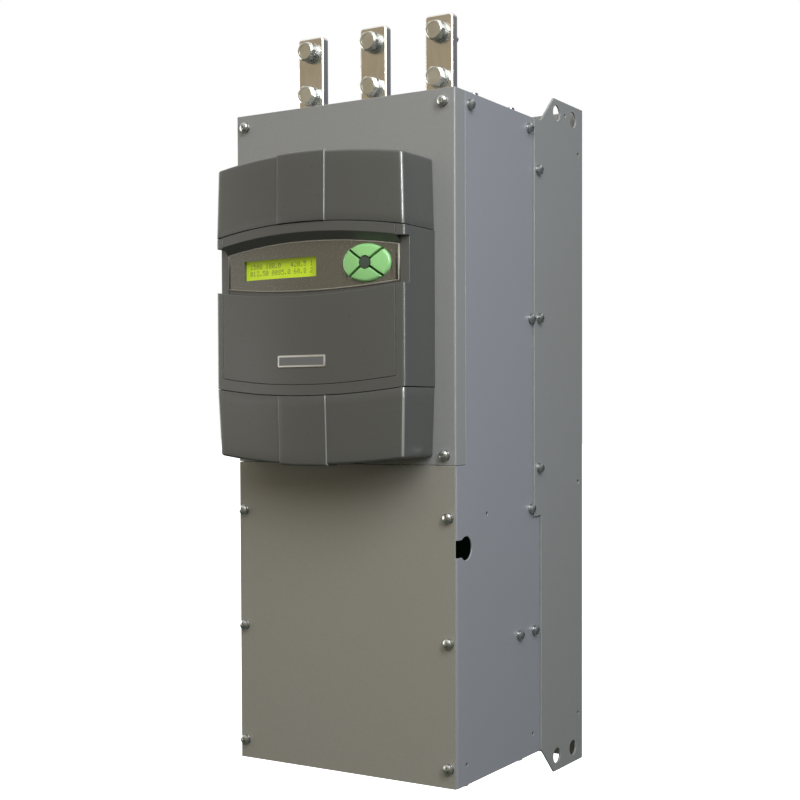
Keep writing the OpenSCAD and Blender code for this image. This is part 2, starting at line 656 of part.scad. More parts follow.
module control_housing() {
    place() color([0.34, 0.34, 0.31]) difference() {
        union() {
            difference() {
                intersection() {
                    translate([0, 0, 350]) linear_extrude(190) head_plan(0, -0.2);
                    xz(-head_mid - 6, 1) intersection() {
                        band(hw + 2, 355, 540);
                        over_sag(107, 7.6, 363.2);
                        under_arch(107, 8.2, 522.8);
                    }
                }
                // opening for the display panel
                xz(-head_mid - 6, -34) intersection() {
                    band(98.6, 355, 540);
                    over_sag(98.5, 7.2, 373.0);
                }
                difference() {
                    translate([0, 0, 340]) linear_extrude(210) head_plan(wall, 3);
                }
                // notch in line with the recess
                difference() {
                    notch_zone(0, 505.4);
                    bowl(8, 430, 550);
                }
            }
            // floor of the notch, and its lips above and below
            for (s = [0, 1]) translate([head_x, 0, 0]) mirror([s, 0, 0]) translate([-head_x, 0, 0]) {
                intersection() {
                    difference() { bowl(8, 440, 530); bowl(10.5, 430, 540); }
                    block([head_x + 98.6, -60, 445], [head_x + hw, -30, 525]);
                    notch_zone(wall, 505.4);
                }
                difference() {
                    intersection() {
                        bowl(wall - 0.5, 440, 530);
                        block([head_x + 98.6, -62, 445], [head_x + hw - wall + 0.3, -30, 525]);
                        notch_zone(wall, 505.4);
                    }
                    bowl(9.2, 430, 540);
                    notch_zone(0, 505.4);
                }
            }
            // ledges that carry the display panel
            difference() {
                intersection() {
                    bowl(wall + 0.3, 350, 540);
                    xz(-head_mid - 6, -30) intersection() {
                        band(hw - wall + 0.5, 360, 450);
                        over_sag(107, 7.6, 365);
                    }
                }
                bowl(wall + 2.3, 340, 550);
                xz(-head_mid - 8, -20) intersection() {
                    band(91, 355, 540);
                    over_sag(98.5, 7.2, 380);
                }
            }
        }
    }
}

// plan outline of a cap at one height: w half width, p corner depth, m centre
// depth, st step of the raised middle strip
function cap_pt(w, p, m, x) = p + (m - p) * (1 - pow(x / w, 2));
function cap_outline(w, p, m, st, r) = concat(
    [[-w, -0.3]],
    [for (i = [0 : 5]) let (a = i * 15) [-w + r - r * cos(a), -(cap_pt(w, p, m, w - r) - r) - r * sin(a)]],
    [for (i = [1 : 10]) let (x = -(w - r) + i * (w - r - 27) / 10) [x, -cap_pt(w, p, m, x)]],
    st > 0 ? [for (i = [0 : 6]) let (x = -27 + i * 9) [x + (i == 0 ? 0.05 : i == 6 ? -0.05 : 0), -cap_pt(w, p, m, x) - st]]
           : [for (i = [1 : 5]) let (x = -27 + i * 9) [x, -cap_pt(w, p, m, x)]],
    [for (i = [0 : 10]) let (x = 27 + i * (w - r - 27) / 10) [x, -cap_pt(w, p, m, x)]],
    [for (i = [1 : 6]) let (a = 90 - i * 15) [w - r + r * cos(a), -(cap_pt(w, p, m, w - r) - r) - r * sin(a)]],
    [[w, -0.3]]);
module loft(a, za, b, zb) {
    n = len(a);
    polyhedron(points = concat([for (q = a) [q[0], q[1], za]], [for (q = b) [q[0], q[1], zb]]),
        faces = concat([[for (i = [0 : n - 1]) i]], [[for (i = [n - 1 : -1 : 0]) n + i]],
            [for (i = [0 : n - 1]) let (j = (i + 1) % n) [i, n + i, n + j, j]]));
}

// upper cap: arched top, raised middle strip, open at the seam and the back
module upper_cap() {
    place() color([0.34, 0.34, 0.31]) translate([head_x, 0, 0]) difference() {
        intersection() {
            loft(cap_outline(107.3, 53, 61.2, 1.4, 4), 510, cap_outline(104.9, 51.8, 60.2, 1.4, 4), 591);
            xz(-head_mid - 8, 2) translate([-head_x, 0]) union() {
                intersection() { under_arch(106, 7, 587.2); difference() { band(hw + 2, 512, 600); under_arch(107, 8.2, 523.3); } }
                intersection() { under_arch(106, 7, 588.1); difference() { band(27, 512, 600); under_arch(107, 8.2, 523.3); } }
            }
        }
        intersection() {
            loft(cap_outline(104.9, 50.6, 58.8, 0, 2), 500, cap_outline(102.5, 49.4, 57.8, 0, 2), 600);
            translate([0, 3, 0]) xz(-head_mid - 8, 2) translate([-head_x, 0]) union() { intersection() { under_arch(106, 7, 584.8); band(hw + 2, 490, 600); } }
        }
        translate([-130, -1, 480]) cube([260, 6, 130]);
        // opening for the supply wires in the top
        translate([-60, -42, 560]) cube([120, 22, 40]);
    }
}

// lower cap: sagging underside with the control cable opening
module lower_cap() {
    place() color([0.34, 0.34, 0.31]) translate([head_x, 0, 0]) difference() {
        intersection() {
            loft(cap_outline(104.4, 50.6, 58.6, 1.4, 4), 294, cap_outline(107.3, 53, 61.2, 1.4, 4), 374);
            xz(-head_mid - 8, 2) translate([-head_x, 0]) union() {
                difference() { intersection() { over_sag(106, 7.2, 299.4); band(hw + 2, 280, 374); } over_sag(107, 7.6, 362.7); }
                difference() { intersection() { over_sag(106, 7.2, 298.0); band(27, 280, 374); } over_sag(107, 7.6, 362.7); }
            }
        }
        intersection() {
            loft(cap_outline(102, 48.2, 56.2, 0, 2), 284, cap_outline(104.9, 50.6, 58.8, 0, 2), 384);
            translate([0, 3, 0]) xz(-head_mid - 8, 2) translate([-head_x, 0]) intersection() { over_sag(106, 7.2, 301.8); band(hw + 2, 280, 390); }
        }
        translate([-130, -1, 280]) cube([260, 6, 110]);
        translate([-80, -42, 285]) cube([160, 28, 26]);
    }
}

// ---------- display ----------

// local frame of the display: the back of the panel floor at the window's middle
lcd_x = -31.8;
lcd_rot = asin(lcd_x / (Rf - 11.5));
module lcd_frame() {
    translate([head_x + lcd_x, Yc - sqrt((Rf - 11.5) * (Rf - 11.5) - lcd_x * lcd_x), 482.3]) rotate([0, 0, lcd_rot]) children();
}
module lcd_bezel() {
    place() color([0.08, 0.08, 0.08]) lcd_frame() difference() {
        block([-51, 2.06, -15.5], [51, 9.4, 15.5]);
        block([-45.9, 0, -11.2], [45.9, 6.2, 11.2]);
    }
}
module lcd_glass() {
    place() color([0.7, 0.8, 0.14]) lcd_frame() block([-45.7, 1.7, -11], [45.7, 6.2, 11]);
}

// ---------- keypad ----------

key_x = 65.6;
key_z = 483;
key_y = Yc - sqrt((Rf - 7.5) * (Rf - 7.5) - key_x * key_x);
key_tilt = asin(key_x / (Rf - 7.5));
// local frame: facia surface at y = 0, outwards is -y
module key_frame() { translate([head_x + key_x, key_y, key_z]) rotate([0, 0, key_tilt]) children(); }
// four-centred oval
module oval(a, b) {
    r1 = 0.53 * a;
    c = a - r1;
    k = (c * c - (b - r1) * (b - r1)) / (2 * (b - r1));
    R2 = b + k;
    xt = R2 * c / sqrt(c * c + k * k);
    intersection() {
        translate([0, -k]) circle(R2, $fn = 180);
        translate([0, k]) circle(R2, $fn = 180);
        translate([-xt, -b - 1]) square([2 * xt, 2 * b + 2]);
    }
    for (s = [-1, 1]) translate([s * (c + 0.01), 0]) circle(r1, $fn = 96);
}
dome_h = 4.2;
module dome(h) { translate([0, 99 - h, 0]) sphere(99, $fn = 360); }

module keypad_hub() {
    place() color([0.2, 0.24, 0.2]) key_frame() difference() {
        union() {
            xz(4.7, 5.7) oval(28, 20.2);
            intersection() {
                drill_y(0, 0, 5.4, -8, 5);
                dome(dome_h - 0.1);
            }
        }
        for (a = [0, 90, 180, 270]) rotate([0, a, 0]) drill_y(13, 0, 1.8, 3, 7);
    }
}
// one of the four keys; t is its direction, 0 right, 90 up
stem_tip = -head_mid + 21.1;
module key_sector(t) {
    if (t == 0 || t == 180) rotate(t) polygon([[0, 0], [40, -40 * tan(36)], [40, 40 * tan(36)]]);
    else rotate(t - 90) polygon([[0, 0], [40, 40 * tan(36)], [40, 60], [-40, 60], [-40, 40 * tan(36)]]);
}
module key(t) {
    tip = (stem_tip - key_y - 13 * cos(t) * sin(key_tilt)) / cos(key_tilt);
    place() color([0.5, 0.82, 0.48]) key_frame() union() {
        intersection() {
            xz(-8, 2.4) difference() {
                intersection() { oval(24.9, 17.5); key_sector(t); }
                for (a = [36, -36]) rotate(a) translate([-40, -0.95]) square([80, 1.9]);
                circle(6.1);
            }
            dome(dome_h);
        }
        translate([13 * cos(t), 0, 13 * sin(t)]) rotate([-90, 0, 0]) translate([0, 0, 2.2]) cylinder(r = 1.5, h = tip - 2.2);
    }
}
module key_up() { key(90); }
module key_down() { key(270); }
module key_left() { key(180); }
module key_right() { key(0); }

module label_plate() {
    place() color([0.75, 0.76, 0.76]) difference() {
        intersection() {
            bowl(-0.8, 380, 410);
            xz(-head_mid - 6, -20) union() {
                translate([head_x - 27 + 1.2, 389.6]) square([54 - 2.4, 11]);
                translate([head_x - 27, 389.6 + 1.2]) square([54, 11 - 2.4]);
                for (x = [-25.8, 25.8], z = [390.8, 399.4]) translate([head_x + x, z]) circle(1.2);
            }
        }
        bowl(0, 370, 420);
    }
}

// ---------- boards in the control head ----------

module control_board() {
    place() color([0.1, 0.4, 0.22]) difference() {
        union() {
            block([head_x - 96, -22, 320], [head_x + 96, -20.4, 564]);
            block([head_x - 50, -26, 430], [head_x - 22, -21.9, 458]);
            block([head_x + 10, -25, 440], [head_x + 30, -21.9, 452]);
            for (i = [0 : 3]) translate([head_x + 60 + (i % 2) * 16, -21.9, 470 + floor(i / 2) * 18]) rotate([90, 0, 0]) cylinder(r = 6, h = 12);
            block([head_x - 88, -32, 380], [head_x - 40, -21.9, 388]);
            block([head_x + 40, -34, 385], [head_x + 58, -21.9, 400]);
        }
        for (x = [-88, 88], z = [330, 555]) drill_y(head_x + x, z, 2.1, -30, -15);
    }
}
module control_board_standoffs() {
    place() color([0.8, 0.7, 0.4]) for (x = [-88, 88], z = [330, 555])
        translate([head_x + x, -6, z]) rotate([90, 0, 0]) {
            cylinder(r = 4, h = 14.4, $fn = 6);
            translate([0, 0, -10]) cylinder(r = 1.5, h = 10.2);
            cylinder(r = 1.9, h = 17);
            translate([0, 0, 16]) cylinder(r = 3.4, h = 2.4);
        }
}
module display_board() {
    place() color([0.1, 0.4, 0.22]) difference() {
        union() {
            block([head_x - 90, -36.6, 458], [head_x + 94, -35, 509]);
            // one tactile switch behind each key stem
            for (t = [0, 90, 180, 270]) translate([head_x + key_x + 13 * cos(t) * cos(key_tilt), 0, key_z + 13 * sin(t)])
                block([-3, stem_tip + 1.55, -3], [3, -36.5, 3]);
            block([head_x - 60, -35.1, 500], [head_x - 20, -28, 508]);
        }
        for (x = [-86, 90], z = [461.5, 506.4]) drill_y(head_x + x, z, 1.6, -42, -30);
    }
}

// plug-in terminal strips: control signals below, supply and field above
module terminal_strip(n, pitch, x, z, up) {
    w = n * pitch;
    difference() {
        block([x - w / 2, -40, z - 8], [x + w / 2, -22, z + 8]);
        for (i = [0 : n - 1]) let (px = x - w / 2 + (i + 0.5) * pitch) {
            block([px - pitch * 0.32, -36, up ? z + 1 : z - 10], [px + pitch * 0.32, -28, up ? z + 10 : z - 1]);
            block([px - pitch * 0.3, -42, z - 2.4 + (up ? -2 : 2)], [px + pitch * 0.3, -38.6, z + 2.4 + (up ? -2 : 2)]);
        }
    }
}
module control_terminals() {
    place() color([0.2, 0.5, 0.25]) for (i = [-1 : 1]) terminal_strip(10, 5.08, head_x + i * 56, 336, false);
}
module supply_terminals() {
    place() color([0.2, 0.2, 0.2]) for (i = [-1, 1]) terminal_strip(6, 10.16, head_x + i * 40, 548, true);
}

// ---------- selection ----------

rear_chassis();
left_side_panel();
right_side_panel();
top_panel();
bottom_panel();
upper_front_cover();
lower_front_cover();
front_screws();
side_screws();
panel_screws();
screw_washers();
left_mounting_rail();
right_mounting_rail();
upper_crossbar();
lower_crossbar();
air_baffle();
heatsink();
thyristor_module_1();
thyristor_module_2();
thyristor_module_3();
module_screws();
module_fixings();
ac_busbar_1();
ac_busbar_2();
ac_busbar_3();
dc_busbar_positive();
dc_busbar_negative();
busbar_bolts();
busbar_washers();
spring_washers();
clinch_nuts();
busbar_insulators();
current_transformer_left();
current_transformer_right();
trigger_board();
trigger_board_standoffs();
fan_frame_left();
fan_frame_right();
fan_rotor_left();
fan_rotor_right();
base_tray();
control_housing();
display_panel();
upper_cap();
lower_cap();
display_facia();
lcd_bezel();
lcd_glass();
keypad_hub();
key_up();
key_down();
key_left();
key_right();
label_plate();
control_board();
control_board_standoffs();
display_board();
control_terminals();
supply_terminals();
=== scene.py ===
import json
import math

import bmesh
import bpy
from mathutils import Matrix, Vector

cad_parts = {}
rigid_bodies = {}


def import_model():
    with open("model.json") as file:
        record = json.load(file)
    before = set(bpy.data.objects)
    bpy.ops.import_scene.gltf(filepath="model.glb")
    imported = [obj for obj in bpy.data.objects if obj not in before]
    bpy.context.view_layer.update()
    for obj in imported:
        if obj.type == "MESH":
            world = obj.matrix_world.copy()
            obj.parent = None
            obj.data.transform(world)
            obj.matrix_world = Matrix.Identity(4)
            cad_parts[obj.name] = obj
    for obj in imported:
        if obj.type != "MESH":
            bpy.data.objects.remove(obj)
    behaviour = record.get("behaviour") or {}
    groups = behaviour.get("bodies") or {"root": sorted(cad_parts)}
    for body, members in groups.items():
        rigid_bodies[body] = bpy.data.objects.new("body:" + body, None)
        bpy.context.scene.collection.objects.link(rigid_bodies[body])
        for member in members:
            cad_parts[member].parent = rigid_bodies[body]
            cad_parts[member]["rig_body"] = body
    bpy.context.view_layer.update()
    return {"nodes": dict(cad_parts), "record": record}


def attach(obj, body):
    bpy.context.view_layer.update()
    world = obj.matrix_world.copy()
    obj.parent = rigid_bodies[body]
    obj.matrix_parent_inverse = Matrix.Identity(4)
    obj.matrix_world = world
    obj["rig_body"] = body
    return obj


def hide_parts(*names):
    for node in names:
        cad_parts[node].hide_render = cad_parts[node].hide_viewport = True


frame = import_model()
N = frame["nodes"]
SLOT = {sp["node"]: sp["material_slot"] for sp in frame["record"]["subparts"]}

# ---------------------------------------------------------------- the frame
D = 0.273                      # depth of the enclosure: its front plane is at y = -D
HEADX = -3.0                   # centre line of the control head, mm
HW, MID, CORNER = 107.8, 61.0, 52.0
SAG = MID - CORNER
RF = (HW * HW + SAG * SAG) / (2 * SAG)
YC = RF - MID                  # centre of the head's front radius, behind the front plane, mm


def P(x, y, z):
    """point of the front-plane frame, in millimetres, as a row-frame point in metres"""
    return Vector((x / 1000, y / 1000 - D, z / 1000))


# ---------------------------------------------------------------- camera
def make_camera():
    yaw, pitch, roll = math.radians(30.6745), math.radians(-1.6307), math.radians(0.1658)
    f = Vector((-math.sin(yaw) * math.cos(pitch), math.cos(yaw) * math.cos(pitch), math.sin(pitch)))
    r = Vector((math.cos(yaw), math.sin(yaw), 0))
    d = f.cross(r)
    r2 = math.cos(roll) * r + math.sin(roll) * d
    d2 = -math.sin(roll) * r + math.cos(roll) * d
    cam = bpy.data.cameras.new("camera")
    o = bpy.data.objects.new("camera", cam)
    bpy.context.scene.collection.objects.link(o)
    m = Matrix((r2, -d2, -f)).transposed().to_4x4()
    m.translation = Vector((0.7552017, -1.0855772 - D, 0.3472701))
    o.matrix_world = m
    cam.sensor_fit = "HORIZONTAL"
    cam.sensor_width = 36
    cam.lens = 1371.0541 / 800 * 36
    cam.shift_x = -(441.5813 - 400) / 800
    cam.shift_y = (451.5489 - 400) / 800
    cam.clip_start, cam.clip_end = 0.05, 60
    bpy.context.scene.camera = o
    return o


camera = make_camera()


# ---------------------------------------------------------------- node helpers
def new_mat(name):
    m = bpy.data.materials.new(name)
    m.use_nodes = True
    nt = m.node_tree
    return m, nt, nt.nodes["Principled BSDF"]


def coords(nt, scale=(1, 1, 1)):
    tc = nt.nodes.new("ShaderNodeTexCoord")
    mp = nt.nodes.new("ShaderNodeMapping")
    mp.inputs["Scale"].default_value = scale
    nt.links.new(tc.outputs["Object"], mp.inputs["Vector"])
    return mp.outputs["Vector"]


def noise(nt, vec, scale, detail=3.0, rough=0.55):
    n = nt.nodes.new("ShaderNodeTexNoise")
    n.inputs["Scale"].default_value = scale
    n.inputs["Detail"].default_value = detail
    n.inputs["Roughness"].default_value = rough
    nt.links.new(vec, n.inputs["Vector"])
    return n.outputs["Fac"]


def ramp(nt, fac, stops):
    n = nt.nodes.new("ShaderNodeValToRGB")
    e = n.color_ramp.elements
    for i, (pos, col) in enumerate(stops):
        if i >= len(e):
            e.new(pos)
        e[i].position = pos
        e[i].color = col if len(col) == 4 else (*col, 1)
    nt.links.new(fac, n.inputs["Fac"])
    return n.outputs["Color"]


def remap(nt, fac, lo, hi, a=0.0, b=1.0, smooth=False):
    n = nt.nodes.new("ShaderNodeMapRange")
    if smooth:
        n.interpolation_type = "SMOOTHSTEP"
    n.inputs["From Min"].default_value = a
    n.inputs["From Max"].default_value = b
    n.inputs["To Min"].default_value = lo
    n.inputs["To Max"].default_value = hi
    nt.links.new(fac, n.inputs["Value"])
    return n.outputs["Result"]


def mix(nt, fac, a, b, mode="MIX"):
    n = nt.nodes.new("ShaderNodeMix")
    n.data_type = "RGBA"
    n.blend_type = mode
    for sock, v in ((n.inputs[0], fac), (n.inputs[6], a), (n.inputs[7], b)):
        if isinstance(v, bpy.types.NodeSocket):
            nt.links.new(v, sock)
        elif isinstance(v, (int, float)):
            sock.default_value = v
        else:
            sock.default_value = (*v, 1) if len(v) == 3 else v
    return n.outputs[2]


def bump(nt, heights, bsdf):
    """heights is a list of (socket, strength, distance)"""
    last = None
    for h, s, dist in heights:
        n = nt.nodes.new("ShaderNodeBump")
        n.inputs["Strength"].default_value = s
        n.inputs["Distance"].default_value = dist
        nt.links.new(h, n.inputs["Height"])
        if last is not None:
            nt.links.new(last, n.inputs["Normal"])
        last = n.outputs["Normal"]
    nt.links.new(last, bsdf.inputs["Normal"])


def lin(c):
    """display colour 0..255 to linear"""
    out = []
    for v in c:
        v = v / 255
        out.append(v / 12.92 if v <= 0.04045 else ((v + 0.055) / 1.055) ** 2.4)
    return tuple(out)


def mul(c, k):
    return tuple(min(1.0, v * k) for v in c)


# ---------------------------------------------------------------- materials
def powder_coat(name, col, rough=(0.30, 0.44), highlight_gain=1.0):
    """satin powder coat: fine orange peel, faint pigment mottling and slow tone drift"""
    m, nt, b = new_mat(name)
    v = coords(nt)
    # a gain above 1 makes the lighter copy used as a painted highlight on edges
    base = mul(lin(col), highlight_gain)
    fine = noise(nt, v, 1500, 2.0, 0.6)
    mid = noise(nt, v, 380, 3.0, 0.6)
    broad = noise(nt, v, 5.0, 0.0, 0.5)
    c1 = ramp(nt, fine, [(0.30, mul(base, 0.90)), (0.50, base), (0.72, mul(base, 1.12))])
    c2 = mix(nt, remap(nt, mid, 0.0, 0.5, 0.4, 0.7), c1, mul(base, 1.07))
    c3 = mix(nt, remap(nt, broad, 0.0, 0.5, 0.1, 0.9, True), c2, tuple(a * t for a, t in zip(base, (1.0, 0.985, 0.94))))
    nt.links.new(c3, b.inputs["Base Color"])
    nt.links.new(remap(nt, mid, rough[0], rough[1], 0.3, 0.7), b.inputs["Roughness"])
    b.inputs["Specular IOR Level"].default_value = 0.5
    bump(nt, [(mid, 0.10, 0.0005), (fine, 0.16, 0.0002)], b)
    return m


def moulded(name, col, rough=0.5, grain=2600, strength=0.22, var=0.1, spec=0.5):
    m, nt, b = new_mat(name)
    v = coords(nt)
    base = lin(col)
    fine = noise(nt, v, grain, 2.0, 0.6)
    cloud = noise(nt, v, 420, 3.0, 0.6)
    c1 = ramp(nt, fine, [(0.3, mul(base, 1 - var)), (0.5, base), (0.7, mul(base, 1 + var))])
    c2 = mix(nt, remap(nt, cloud, 0.0, 0.3, 0.2, 0.8, True), c1, mul(base, 1.12))
    nt.links.new(c2, b.inputs["Base Color"])
    nt.links.new(remap(nt, cloud, rough - 0.03, rough + 0.03, 0.2, 0.8, True), b.inputs["Roughness"])
    b.inputs["Specular IOR Level"].default_value = spec
    bump(nt, [(fine, strength, 0.00018)], b)
    return m


def metal(name, col, rough=0.3, scratch=(1, 1, 30), scale=90, var=0.15, bump_s=0.1, cloud=0.0, tint=(1, 1, 1)):
    m, nt, b = new_mat(name)
    v = coords(nt, scratch)
    base = lin(col)
    n1 = noise(nt, v, scale, 4.0, 0.6)
    v2 = coords(nt)
    n2 = noise(nt, v2, 35, 4.0, 0.6)
    c1 = ramp(nt, n1, [(0.3, mul(base, 1 - var)), (0.5, base), (0.7, mul(base, 1 + var))])
    c2 = mix(nt, remap(nt, n2, 0.0, cloud, 0.35, 0.65), c1, tuple(a * t for a, t in zip(base, tint)))
    nt.links.new(c2, b.inputs["Base Color"])
    b.inputs["Metallic"].default_value = 1.0
    nt.links.new(remap(nt, n2, rough - 0.06, rough + 0.08, 0.3, 0.7), b.inputs["Roughness"])
    bump(nt, [(n1, bump_s, 0.0002)], b)
    return m


def board():
    """solder-masked laminate: tracks show as a fine lighter weave"""
    m, nt, b = new_mat("laminate_green")
    v = coords(nt, (1, 0.2, 1))
    w = nt.nodes.new("ShaderNodeTexBrick")
    w.inputs["Scale"].default_value = 260
    w.inputs["Mortar Size"].default_value = 0.10
    w.inputs["Color1"].default_value = (*lin((20, 82, 46)), 1)
    w.inputs["Color2"].default_value = (*lin((26, 94, 54)), 1)
    w.inputs["Mortar"].default_value = (*lin((40, 118, 66)), 1)
    nt.links.new(v, w.inputs["Vector"])
    nt.links.new(w.outputs["Color"], b.inputs["Base Color"])
    nt.links.new(remap(nt, noise(nt, v, 40), 0.22, 0.38, 0.3, 0.7), b.inputs["Roughness"])
    bump(nt, [(w.outputs["Fac"], 0.2, 0.0001)], b)
    return m


def lcd_material():
    m, nt, b = new_mat("lcd_backlit")
    v = coords(nt)
    n = noise(nt, v, 14, 2.0, 0.5)
    c = ramp(nt, n, [(0.3, lin((166, 188, 32))), (0.7, lin((174, 196, 46)))])
    nt.links.new(c, b.inputs["Base Color"])
    nt.links.new(c, b.inputs["Emission Color"])
    b.inputs["Emission Strength"].default_value = 0.25
    b.inputs["Roughness"].default_value = 0.16
    return m


PAINT = (124, 124, 121)
MAT = {
    "enclosure_paint": powder_coat("powder_coat_grey", PAINT),
    "zinc_steel": metal("bright_zinc", (182, 184, 183), 0.27, (1, 1, 1), 300, 0.14, 0.10, 0.6, (0.92, 0.93, 0.86)),
    "inner_steel": metal("zinc_sheet", (190, 192, 195), 0.42, (1, 1, 1), 60, 0.12, 0.05, 0.5, (0.85, 0.87, 0.9)),
    "heatsink_aluminium": metal("extruded_aluminium", (205, 206, 208), 0.4, (60, 60, 1), 30, 0.08, 0.12, 0.3),
    "tinned_bar": metal("tin_plate", (218, 216, 212), 0.20, (10, 10, 1), 40, 0.06, 0.05, 0.7, (0.98, 0.95, 0.90)),
    "module_black": moulded("module_black", (38, 38, 40), 0.5, 1500),
    "insulator_red": moulded("polyester_red", (120, 42, 30), 0.35, 800),
    "transformer_resin": moulded("cast_resin", (40, 46, 62), 0.3, 600),
    "board_green": board(),
    "standoff_brass": metal("nickel_brass", (200, 180, 130), 0.3, (1, 1, 1), 200),
    "fan_black": moulded("fan_black", (34, 34, 34), 0.45, 1800),
    "head_plastic": moulded("head_plastic", (73, 73, 69), 0.30, 2300, 0.16, 0.08),
    "facia_film": moulded("facia_film", (80, 77, 66), 0.26, 3000, 0.12, 0.12, 0.8),
    "bezel_black": moulded("bezel_black", (30, 30, 30), 0.4, 1800),
    "hub_dark": moulded("hub_dark", (56, 66, 56), 0.35, 1800),
    "key_green": moulded("key_green", (130, 182, 114), 0.22, 1500, 0.08, 0.05),
    "label_silver": metal("blank_plate", (214, 214, 214), 0.36, (2, 60, 60), 40, 0.08, 0.05),
    "terminal_green": moulded("terminal_green", (40, 120, 66), 0.35, 900),
    "terminal_black": moulded("terminal_black", (36, 36, 36), 0.4, 900),
    "lcd_yellow": lcd_material(),
}
EDGE_HIGHLIGHT = {
    # lighter copies of each finish for folds, rims and rounded edges: a painted highlight for the light caught on the
    # edges
    "enclosure_paint": powder_coat("powder_coat_painted_highlight", PAINT, (0.22, 0.32), 1.35),
    "head_plastic": moulded("head_plastic_painted_highlight", (122, 121, 114), 0.20, 2300, 0.12, 0.08, 0.8),
    "facia_film": moulded("facia_painted_highlight", (150, 146, 134), 0.3, 3000, 0.1, 0.1),
    "tinned_bar": metal("tin_painted_highlight", (240, 238, 232), 0.26, (10, 10, 1), 40, 0.05, 0.03, 0.3, (1, 0.99, 0.97)),
}
INK = moulded("display_ink", (92, 106, 30), 0.5, 2000, 0.05, 0.15)
FIELD = moulded("plate_field", (92, 93, 92), 0.34, 2600, 0.1, 0.08)
# the side panels and the lower cover get copies of the same paint tinted cooler and warmer: painted light for the cool
# side light and the warm light under the head, each with a lighter painted-highlight copy for its edges
side_paint_cool_lit = (powder_coat("powder_coat_side_cool_lit", (127, 128, 131)), powder_coat("powder_coat_side_painted_highlight", (127, 128, 131), (0.22, 0.32), 1.35))
lower_paint_warm_lit = (powder_coat("powder_coat_lower_warm_lit", (127, 124, 115)), powder_coat("powder_coat_lower_painted_highlight", (127, 124, 115), (0.22, 0.32), 1.35))
bolt_zinc = metal("bolt_zinc", (206, 208, 203), 0.26, (1, 1, 1), 60, 0.06, 0.02, 0.2, (0.94, 0.95, 0.88))
OWN = {"left_side_panel": side_paint_cool_lit, "right_side_panel": side_paint_cool_lit, "lower_front_cover": lower_paint_warm_lit,
       "busbar_bolts": (bolt_zinc, bolt_zinc)}


def paint(node):
    """main material of a node and its lighter edge copy, a painted highlight"""
    return OWN.get(node) or (MAT[SLOT[node]], EDGE_HIGHLIGHT.get(SLOT[node], MAT[SLOT[node]]))


for node in SLOT:
    for s in N[node].material_slots:
        s.material = paint(node)[0]


# ---------------------------------------------------------------- mesh helpers
def link(name, me, body):
    o = bpy.data.objects.new(name, me)
    bpy.context.scene.collection.objects.link(o)
    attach(o, body)
    return o


def finish_mesh(me, sharp):
    for p in me.polygons:
        p.use_smooth = True
    me.set_sharp_from_angle(angle=math.radians(sharp))


def rounded(node, width, segments=2, angle=32, edge=False, weight=None):
    """a welded copy of a CAD node with small edge radii, shown in its place"""
    src = N[node]
    bm = bmesh.new()
    bm.from_mesh(src.data)
    bmesh.ops.remove_doubles(bm, verts=bm.verts, dist=2e-6)
    if not weight:
        bmesh.ops.dissolve_limit(bm, angle_limit=math.radians(0.3), verts=bm.verts, edges=bm.edges, delimit={"NORMAL"})
    if weight:
        layer = bm.edges.layers.float.new("bevel_weight_edge")
        for e in bm.edges:
            if len(e.link_faces) == 2 and e.calc_face_angle(0) > math.radians(angle):
                a, b = (v.co for v in e.verts)
                e[layer] = weight((a + b) / 2)
    me = bpy.data.meshes.new(node + "_edged")
    bm.to_mesh(me)
    bm.free()
    for a in list(me.attributes):
        if a.name in ("custom_normal", "sharp_edge", "sharp_face"):
            me.attributes.remove(a)
    me.materials.clear()
    me.materials.append(paint(node)[0])
    finish_mesh(me, angle)
    o = link(node + "_edged", me, src["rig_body"])
    bv = o.modifiers.new("edges", "BEVEL")
    bv.width = width / 1000
    bv.segments = segments
    bv.limit_method = "WEIGHT" if weight else "ANGLE"
    bv.angle_limit = math.radians(angle)
    bv.use_clamp_overlap = False
    bv.miter_outer = "MITER_ARC"
    bv.harden_normals = True
    # the bevel faces take the lighter edge copy: a painted highlight along the rounded edges
    if edge:
        me.materials.append(paint(node)[1])
        bv.material = 1
    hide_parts(node)
    return o


# ---------------------------------------------------------------- caps of the control head
def arc_drop(x, c, s):
    r = (c * c + s * s) / (2 * s)
    return r - math.sqrt(r * r - x * x)


# height of the raised middle strip's edge, against the distance from its nominal edge
STEP = [(-0.50, 1.40), (-0.32, 1.365), (-0.15, 1.27), (-0.04, 1.12), (0.0, 0.95),
        (0.05, 0.42), (0.12, 0.20), (0.26, 0.06), (0.50, 0.0)]
STRIP = 26.7


def rise(x):
    d = abs(x) - STRIP
    if d <= STEP[0][0]:
        return STEP[0][1]
    for (a, ya), (b, yb) in zip(STEP, STEP[1:]):
        if d <= b:
            return ya + (yb - ya) * (d - a) / (b - a)
    return 0.0


def cap_stations(w, p, m, r, strip, ys):
    """plan outline of a cap from its left back edge round to its right one: x, y, normal"""
    def depth(x):
        return p + (m - p) * (1 - (x / w) ** 2) + (rise(x) if strip else 0.0)

    def smooth_depth(x):
        return p + (m - p) * (1 - (x / w) ** 2)
    yc = -(smooth_depth(w - r) - r)
    beta = math.atan(2 * (m - p) * (w - r) / (w * w))
    left = [(-w, y, -1.0, 0.0) for y in ys]
    for i in range(8):
        a = (math.pi / 2 - beta) * i / 7
        left.append((-w + r - r * math.cos(a), yc - r * math.sin(a), -math.cos(a), -math.sin(a)))
    x0 = left[-1][0]
    xs = [x0 + (-80 - x0) * i / 4 for i in (1, 2, 3)] + [-80.0, -73.0, -66.0, -60.0, -52.0, -44.0, -36.0, -30.0]
    xs += [-(STRIP + d) for d, _ in reversed(STEP)]
    xs += [-20.0, -12.0, -6.0]
    for x in xs:
        k = 2 * (m - p) * x / (w * w)
        n = math.hypot(k, 1)
        left.append((x, -depth(x), k / n, -1 / n))
    mid = [(0.0, -depth(0.0), 0.0, -1.0)]
    return left + mid + [(-x, y, -nx, ny) for x, y, nx, ny in reversed(left)]


